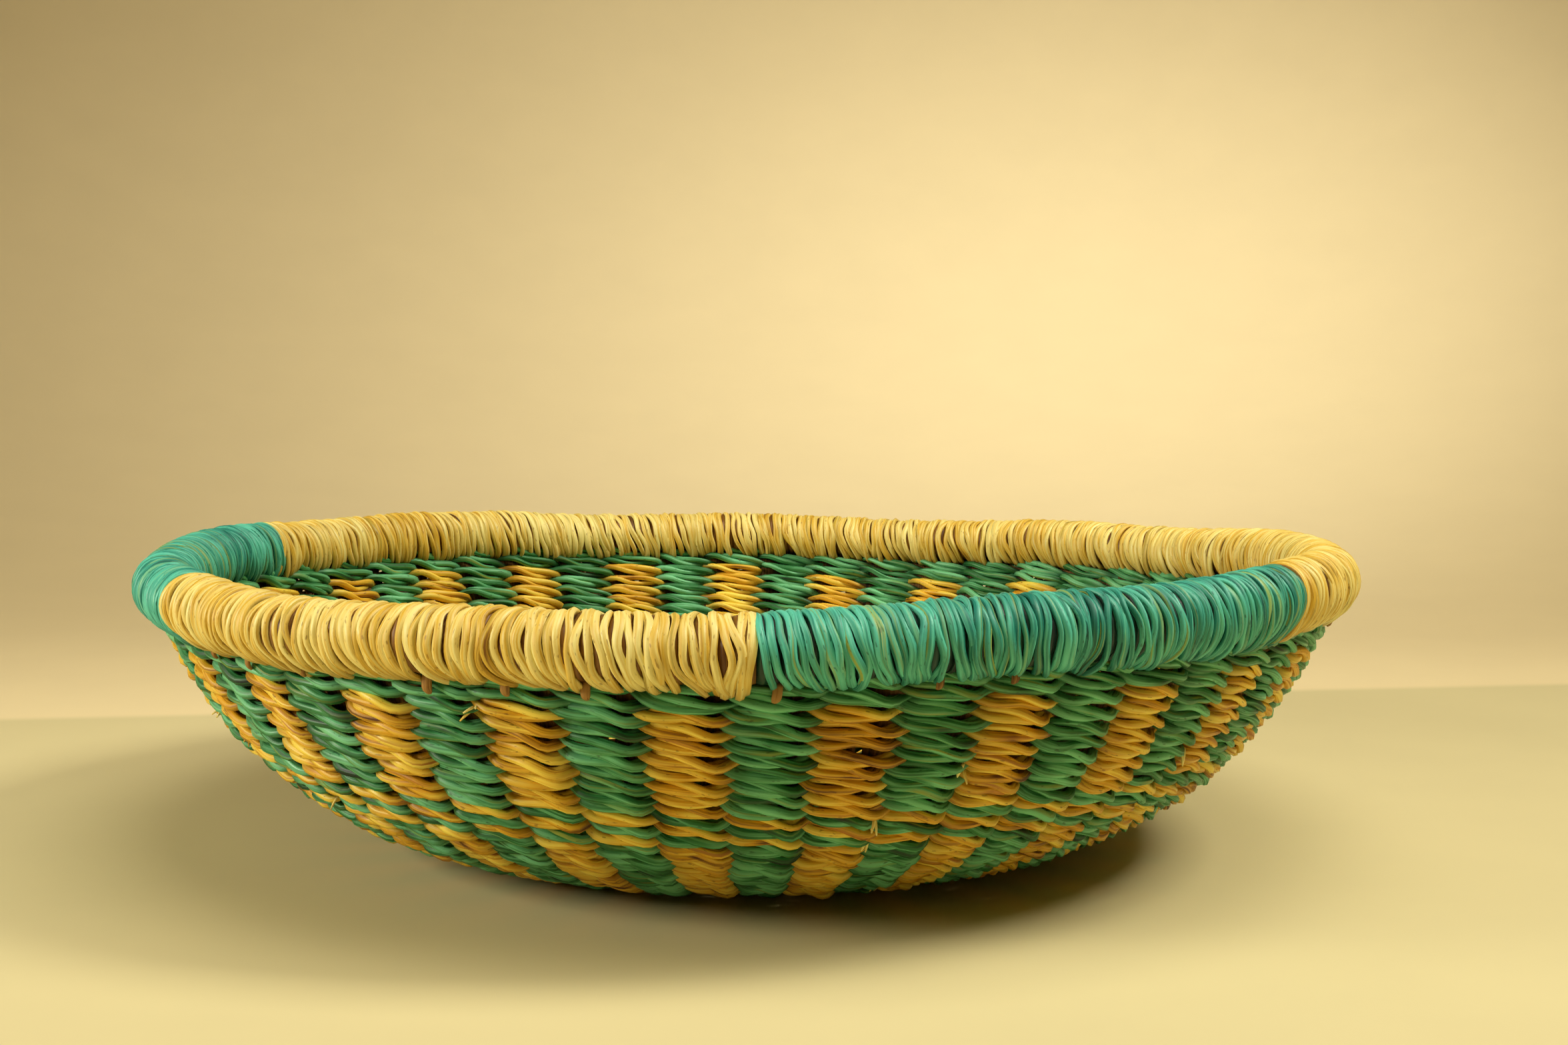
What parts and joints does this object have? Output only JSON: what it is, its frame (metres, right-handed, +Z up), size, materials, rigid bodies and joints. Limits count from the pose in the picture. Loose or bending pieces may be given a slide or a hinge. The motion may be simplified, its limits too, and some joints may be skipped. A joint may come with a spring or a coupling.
{
  "type": "woven basket",
  "caption": "Round shallow open bowl basket, twined from two-colour straw cords on straw stakes, with a thick wrapped rim.",
  "frame": {"origin": "centre of the flat base, on the surface that the basket stands on", "axes": "+Z up along the bowl's axis, -Y towards the front, where the rim changes from natural to teal"},
  "size_m": [0.3994, 0.3994, 0.097],
  "materials": {
    "straw_teal": "satin",
    "straw_natural": "satin",
    "straw_green": "satin",
    "straw_gold": "satin",
    "straw_plain": "matte"
  },
  "bodies": {
    "root": {"rim_core": "straw_plain", "rim_wrap_teal_left": "straw_teal", "rim_wrap_natural_front": "straw_natural", "rim_wrap_teal_right": "straw_teal", "rim_wrap_natural_back": "straw_natural", "border_rows_outer": "straw_green", "border_rows_inner": "straw_green", "upper_bands_outer": "straw_gold", "upper_bands_inner": "straw_green", "turn_row_1_outer": "straw_gold", "turn_row_1_inner": "straw_gold", "turn_row_2_outer": "straw_green", "turn_row_2_inner": "straw_green", "turn_row_3_outer": "straw_gold", "turn_row_3_inner": "straw_gold", "lower_bands_outer": "straw_gold", "lower_bands_inner": "straw_green", "foot_bands_outer": "straw_green", "foot_bands_inner": "straw_gold", "base_bands_outer": "straw_gold", "base_bands_inner": "straw_gold", "centre_swirl_outer": "straw_green", "centre_swirl_inner": "straw_green", "centre_knot": "straw_natural", "stake_bundle_01": "straw_plain", "stake_bundle_02": "straw_plain", "stake_bundle_03": "straw_plain", "stake_bundle_04": "straw_plain", "stake_bundle_05": "straw_plain", "stake_bundle_06": "straw_plain", "stake_bundle_07": "straw_plain", "stake_bundle_08": "straw_plain", "stake_bundle_09": "straw_plain", "stake_bundle_10": "straw_plain", "stake_bundle_11": "straw_plain", "stake_bundle_12": "straw_plain", "stake_bundle_13": "straw_plain"}
  },
  "joints": []
}
